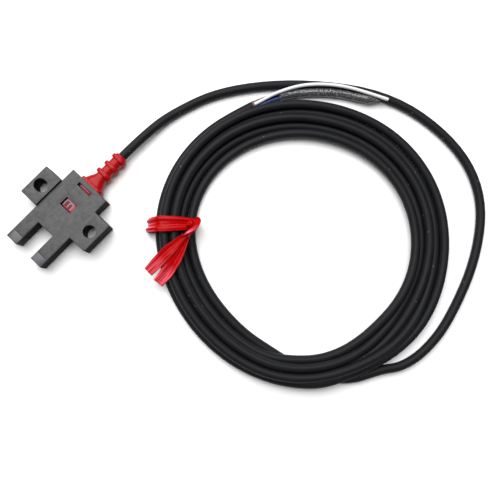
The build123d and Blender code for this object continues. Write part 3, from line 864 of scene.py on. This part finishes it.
tie_out = np.array([*polar(1, TIE_ANGLE), 0])
tie_across = np.array([-tie_out[1], tie_out[0], 0])
tie_from = np.array([*COIL_CENTRE / MM, 0])
band_path = [tie_from + tie_out * r + tie_across * BAND_LEAN * (r - BAND_PIVOT) + (0, 0, z)
             for r, z in BAND_PATH]
band = pleated_strip(
    "ribbon_band", band_path, across=tie_across,
    widths=[(0, 3.2), (0.3, 3.3), (0.42, 3.7), (0.55, 4.2), (0.68, 3.6), (0.8, 2.6), (1, 3.2)],
    depths=[(0, 0.03), (0.3, 0.06), (0.36, 0.3), (0.46, 0.24), (0.56, 0.1), (0.68, 0.2), (0.8, 0.3),
            (0.92, 0.04), (1, 0.03)], folds=1.5, seed=11, stations=150)
band.data.materials.append(ribbon_vinyl("ribbon vinyl", 0.41, 0.09))
knot = pleated_strip(
    "ribbon_knot", [(24.4, 16.7, 4.7), (25.7, 17.4, 5.3), (26.55, 16.8, 5.8), (26.75, 15.6, 5.9),
                    (26.6, 14.3, 5.75), (26.5, 12.9, 5.45)], across=(0.75, 0.66, 0.05),
    widths=[(0, 3.3), (0.3, 3.7), (0.55, 3.1), (0.8, 2.0), (1, 1.4)],
    depths=[(0, 0.2), (0.3, 0.45), (0.6, 0.55), (0.85, 0.42), (1, 0.3)],
    folds=1.3, seed=4, stations=110, twist=0.42)
knot.data.materials.append(ribbon_vinyl("knot vinyl", 0.75, 0.25))
tail_left = pleated_strip(
    "ribbon_tail_a", [(26.6, 13.8, 5.45), (26.3, 10.8, 5.5), (26.1, 7.4, 5.5), (26.05, 3.8, 5.2),
                      (26.0, 0.4, 4.6)], across=(1, 0.05, 0),
    widths=[(0, 1.2), (0.2, 2.2), (0.5, 3.1), (0.8, 3.0), (1, 2.7)],
    depths=[(0, 0.3), (0.3, 0.22), (0.7, 0.2), (1, 0.15)], folds=1.05, seed=21)
tail_right = pleated_strip(
    "ribbon_tail_b", [(26.8, 13.9, 5.4), (27.8, 11.0, 5.3), (28.8, 7.6, 5.2), (29.5, 3.9, 5.0),
                      (29.75, 0.1, 4.8)], across=(1, 0.2, 0),
    widths=[(0, 1.2), (0.2, 2.2), (0.5, 3.1), (0.8, 3.2), (1, 2.8)],
    depths=[(0, 0.3), (0.3, 0.22), (0.7, 0.22), (1, 0.17)], folds=1.05, seed=8)
for tail in (tail_left, tail_right):
    tail.data.materials.append(ribbon_vinyl(tail.name + " vinyl", 1.0, 0.42))
for piece in (band, knot, tail_left, tail_right):
    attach(piece, "root")
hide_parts("ribbon_tie")

# ---- Case ------------------------------------------------------------------
# Glass-filled black moulding with a fine spark-eroded texture, and a flat cover welded
# into its back. Edges are a little rounded and wear-smoothed, smoother than the faces; their
# lighter colour is partly wear and partly painted highlight. The walls carry painted shade.
EDGE_RADIUS = 0.07 * MM
SHARP_FROM = 30                 # degrees between the faces of an edge that is rounded
PAINTED_WALL_SHADE_SHARE = 0.1                # of the top's colour and gloss that the walls keep; their darkness is painted shade


def softened(node, name, width):
    """Copy of a CAD piece with rounded edges; attributes mark them and the faces that look up."""
    mesh = bmesh.new()
    mesh.from_mesh(nodes[node].data)
    bmesh.ops.remove_doubles(mesh, verts=mesh.verts, dist=1e-6)
    bmesh.ops.dissolve_limit(mesh, angle_limit=math.radians(1), verts=mesh.verts, edges=mesh.edges)
    edges = [e for e in mesh.edges
             if len(e.link_faces) == 2 and e.calc_face_angle() > math.radians(SHARP_FROM)]
    made = bmesh.ops.bevel(mesh, geom=edges, offset=width, segments=2, profile=0.5, affect="EDGES",
                           clamp_overlap=True)
    # Bevelled faces are marked for a lighter colour in the material: partly edge wear, partly painted
    # highlight.
    edge_wear_and_sheen = mesh.verts.layers.float.new("edge_wear_and_sheen")
    for face in made["faces"]:
        for vert in face.verts:
            vert[edge_wear_and_sheen] = 1.0
    bmesh.ops.triangulate(mesh, faces=mesh.faces)
    # Faces that look up keep their colour; the walls get painted shade in the material.
    faces_up_unshaded = mesh.faces.layers.float.new("faces_up_unshaded")
    for face in mesh.faces:
        face[faces_up_unshaded] = eased((face.normal.z - 0.3) / 0.5)
    return finished(mesh, name, 30)


def attribute(tree, name):
    """Value of an attribute of the mesh."""
    node = tree.nodes.new("ShaderNodeAttribute")
    node.attribute_name = name
    return node.outputs["Fac"]


def edge_wear_sheen_and_wall_shade(material, colour, roughness):
    """Lighter, smoother colour along the edges, partly wear and partly painted highlight, and painted
    shade darkening the walls below the top.
    """
    tree = material.node_tree
    skin = tree.nodes["skin"].outputs
    bsdf = tree.nodes["Principled BSDF"].inputs
    place = tree.nodes.new("ShaderNodeTexCoord").outputs["Object"]
    # Edge mask for the lighter, smoother colour: partly wear, partly painted highlight.
    amount = computed(tree, "MULTIPLY", attribute(tree, "edge_wear_and_sheen"), noise(tree, place, 900.0))
    gloss = tree.nodes.new("ShaderNodeMix")
    feed(tree, gloss.inputs["Factor"], amount)
    feed(tree, gloss.inputs["A"], skin["Roughness"])
    feed(tree, gloss.inputs["B"], roughness)
    feed(tree, bsdf["Roughness"], gloss.outputs["Result"])
    # Walls keep only a share of the top's colour and specular: painted shade.
    share = ranged(tree, attribute(tree, "faces_up_unshaded"), to_min=PAINTED_WALL_SHADE_SHARE)
    shaded = tree.nodes.new("ShaderNodeVectorMath")
    shaded.operation = "SCALE"
    feed(tree, shaded.inputs[0], tinted(tree, skin["Colour"], amount, (*colour, 1)))
    feed(tree, shaded.inputs["Scale"], share)
    feed(tree, bsdf["Base Color"], shaded.outputs["Vector"])
    specular = bsdf["Specular IOR Level"]
    feed(tree, specular, computed(tree, "MULTIPLY", share, specular.default_value))
    return material


case_black = edge_wear_sheen_and_wall_shade(moulded(
    "case moulding", (0.008, 0.008, 0.008), (0.092, 0.092, 0.094), roughness=0.5, spread=0.2,
    cloud_scale=1500.0, grain_scale=3600.0, relief=0.06, strength=0.9,
    fleck_colour=(0.12, 0.12, 0.12, 1), fleck_scale=2300.0, fleck_size=0.18,
    shader={"Specular IOR Level": 0.16}), colour=(0.1, 0.1, 0.102), roughness=0.4)
case = softened("case_front", "case_shell", EDGE_RADIUS)
case.data.materials.append(case_black)
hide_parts("case_front")
cover = softened("case_back", "case_cover_plate", EDGE_RADIUS / 2)
cover.data.materials.append(case_black)
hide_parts("case_back")
for piece in (case, cover):
    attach(piece, "root")

# ---- Infrared windows ------------------------------------------------------
# Smoke-black polycarbonate caps that form the two prong tips; dark to the eye, clear to
# infrared light, smoother than the case, with a fine joint where they meet it.
JOINT_Y = -14.6 * MM
JOINT_LINE = 0.17 * MM


def along_axis(tree, axis):
    """One object coordinate."""
    place = tree.nodes.new("ShaderNodeTexCoord")
    split = tree.nodes.new("ShaderNodeSeparateXYZ")
    feed(tree, split.inputs["Vector"], place.outputs["Object"])
    return split.outputs[axis]


ir_black = edge_wear_sheen_and_wall_shade(moulded(
    "infrared window", (0.046, 0.046, 0.052), (0.1, 0.1, 0.112), roughness=0.36, spread=0.15,
    cloud_scale=1400.0, grain_scale=3600.0, relief=0.04, strength=0.7,
    fleck_colour=(0.13, 0.13, 0.14, 1), fleck_scale=2300.0, fleck_size=0.1,
    shader={"Specular IOR Level": 0.2}), colour=(0.13, 0.13, 0.14), roughness=0.25)
ir_tree = ir_black.node_tree
ir_colour = ir_tree.nodes["Principled BSDF"].inputs["Base Color"]
near_joint = computed(ir_tree, "GREATER_THAN", along_axis(ir_tree, "Y"), JOINT_Y - JOINT_LINE)
joint_dark = tinted(ir_tree, ir_colour.links[0].from_socket, near_joint, (0.006, 0.006, 0.006, 1))
feed(ir_tree, ir_colour, joint_dark)
for node in ("emitter_window", "receiver_window"):
    cap = softened(node, node + "_cap", EDGE_RADIUS)
    cap.data.materials.append(ir_black)
    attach(cap, "root")
    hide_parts(node)

# ---- Light guide -----------------------------------------------------------
# One red acrylic moulding behind both indicator windows, trapped between the case and
# the board. The chip and its solder show darkly through the square one.
WINDOW_CENTRE = (-0.2 * MM, -1.2 * MM)
WINDOW_HALF = (1.8 * MM, 1.25 * MM)
PARTS_BELOW = ((-0.4, 0.0, 0.24, 0.62), (0.2, -0.1, 0.2, 0.56))     # centre, half sizes, in window halves
RIM_FROM, RIM_SLOPE = 0.4, 2.2
SHADOW_GAP = 0.84
BAR_FROM_Y = WINDOW_CENTRE[1] + 3 * MM
BAR_HIGHLIGHT_Y = 4.6 * MM
BAR_HIGHLIGHT_HALF = 0.06 * MM
guide_red = moulded("red acrylic", (0.23, 0.095, 0.105), (0.39, 0.22, 0.235), roughness=0.15,
                    spread=0.1, cloud_scale=1400.0, grain_scale=2500.0, relief=0.03,
                    shader={"Specular IOR Level": 0.1})


def seen_through(material):
    """Dark parts under the square window, its red rim, a painted shadow along two of its edges, and the
    bar window painted dark red but for a painted highlight line.
    """
    tree = material.node_tree

    def maths(operation, *values, **how):
        """Math on this material's values."""
        return computed(tree, operation, *values, **how)

    def offset(value, centre, half):
        """Signed distance from a centre, in half sizes."""
        return maths("DIVIDE", maths("SUBTRACT", value, centre), half)

    at_y = along_axis(tree, "Y")
    x = offset(along_axis(tree, "X"), WINDOW_CENTRE[0], WINDOW_HALF[0])
    y = offset(at_y, WINDOW_CENTRE[1], WINDOW_HALF[1])
    dark = 0.0
    for part_x, part_y, half_x, half_y in PARTS_BELOW:
        off_x = maths("ABSOLUTE", offset(x, part_x, half_x))
        off_y = maths("ABSOLUTE", offset(y, part_y, half_y))
        dark = maths("MAXIMUM", maths("LESS_THAN", maths("MAXIMUM", off_x, off_y), 1.0), dark)
    minus_x, minus_y = maths("MULTIPLY", x, -1.0), maths("MULTIPLY", y, -1.0)
    past_rim = maths("SUBTRACT", maths("MAXIMUM", x, minus_y), RIM_FROM)
    rim = maths("MULTIPLY", past_rim, RIM_SLOPE, clamp=True)
    # Painted shadow along the guide's -x and -y edges of the square window, as if it sat in a gap.
    gap = maths("GREATER_THAN", maths("MAXIMUM", minus_x, minus_y), SHADOW_GAP)
    # The bar window is tinted dark red except along one thin line, which stays pale as a painted
    # highlight.
    on_bar = maths("GREATER_THAN", at_y, BAR_FROM_Y)
    off_highlight = maths("ABSOLUTE", maths("SUBTRACT", at_y, BAR_HIGHLIGHT_Y))
    bar_away_from_highlight = maths("MULTIPLY", maths("GREATER_THAN", off_highlight, BAR_HIGHLIGHT_HALF), on_bar)
    colour = tree.nodes["skin"].outputs["Colour"]
    for amount, tint in ((rim, (0.3, 0.006, 0.018, 1)), (dark, (0.10, 0.012, 0.02, 1)),
                         (bar_away_from_highlight, (0.15, 0.003, 0.01, 1)), (gap, (0.004, 0.003, 0.003, 1))):
        colour = tinted(tree, colour, amount, tint)
    feed(tree, tree.nodes["Principled BSDF"].inputs["Base Color"], colour)


seen_through(guide_red)
guide = softened("light_guide", "red_light_guide", EDGE_RADIUS / 2)
guide.data.materials.append(guide_red)
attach(guide, "root")
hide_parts("light_guide")

# ---- Inside the case -------------------------------------------------------
# The board stands behind the light guide and carries chips, diodes and solder; the cable
# and its four cores end on it. All stay as modelled and get their materials here.
INSIDE = {
    "circuit_board": ((0.02, 0.16, 0.06), 0.45), "infrared_led": ((0.62, 0.66, 0.75), 0.15),
    "phototransistor": ((0.05, 0.05, 0.06), 0.2), "detector_chip": ((0.03, 0.03, 0.03), 0.5),
    "output_transistor": ((0.03, 0.03, 0.03), 0.5), "indicator_led": ((0.8, 0.75, 0.7), 0.3),
    "chip_resistors": ((0.04, 0.04, 0.05), 0.4), "chip_capacitors": ((0.42, 0.3, 0.2), 0.5),
    "solder_joints": ((0.7, 0.7, 0.72), 0.3), "inner_cable": ((0.022, 0.022, 0.024), 0.45),
    "inner_core_brown": (LEAD_COLOURS["brown"], 0.3), "inner_core_blue": (LEAD_COLOURS["blue"], 0.3),
    "inner_core_black": (LEAD_COLOURS["black"], 0.3), "inner_core_white": (LEAD_COLOURS["white"], 0.3),
}
for node, (tint, rough) in INSIDE.items():
    metal = 1.0 if node == "solder_joints" else 0.0
    paint = moulded(node.replace("_", " "), tint, [c * 0.7 for c in tint], roughness=rough,
                    cloud_scale=900.0, grain_scale=4000.0, shader={"Metallic": metal})
    for place in nodes[node].material_slots:
        place.material = paint
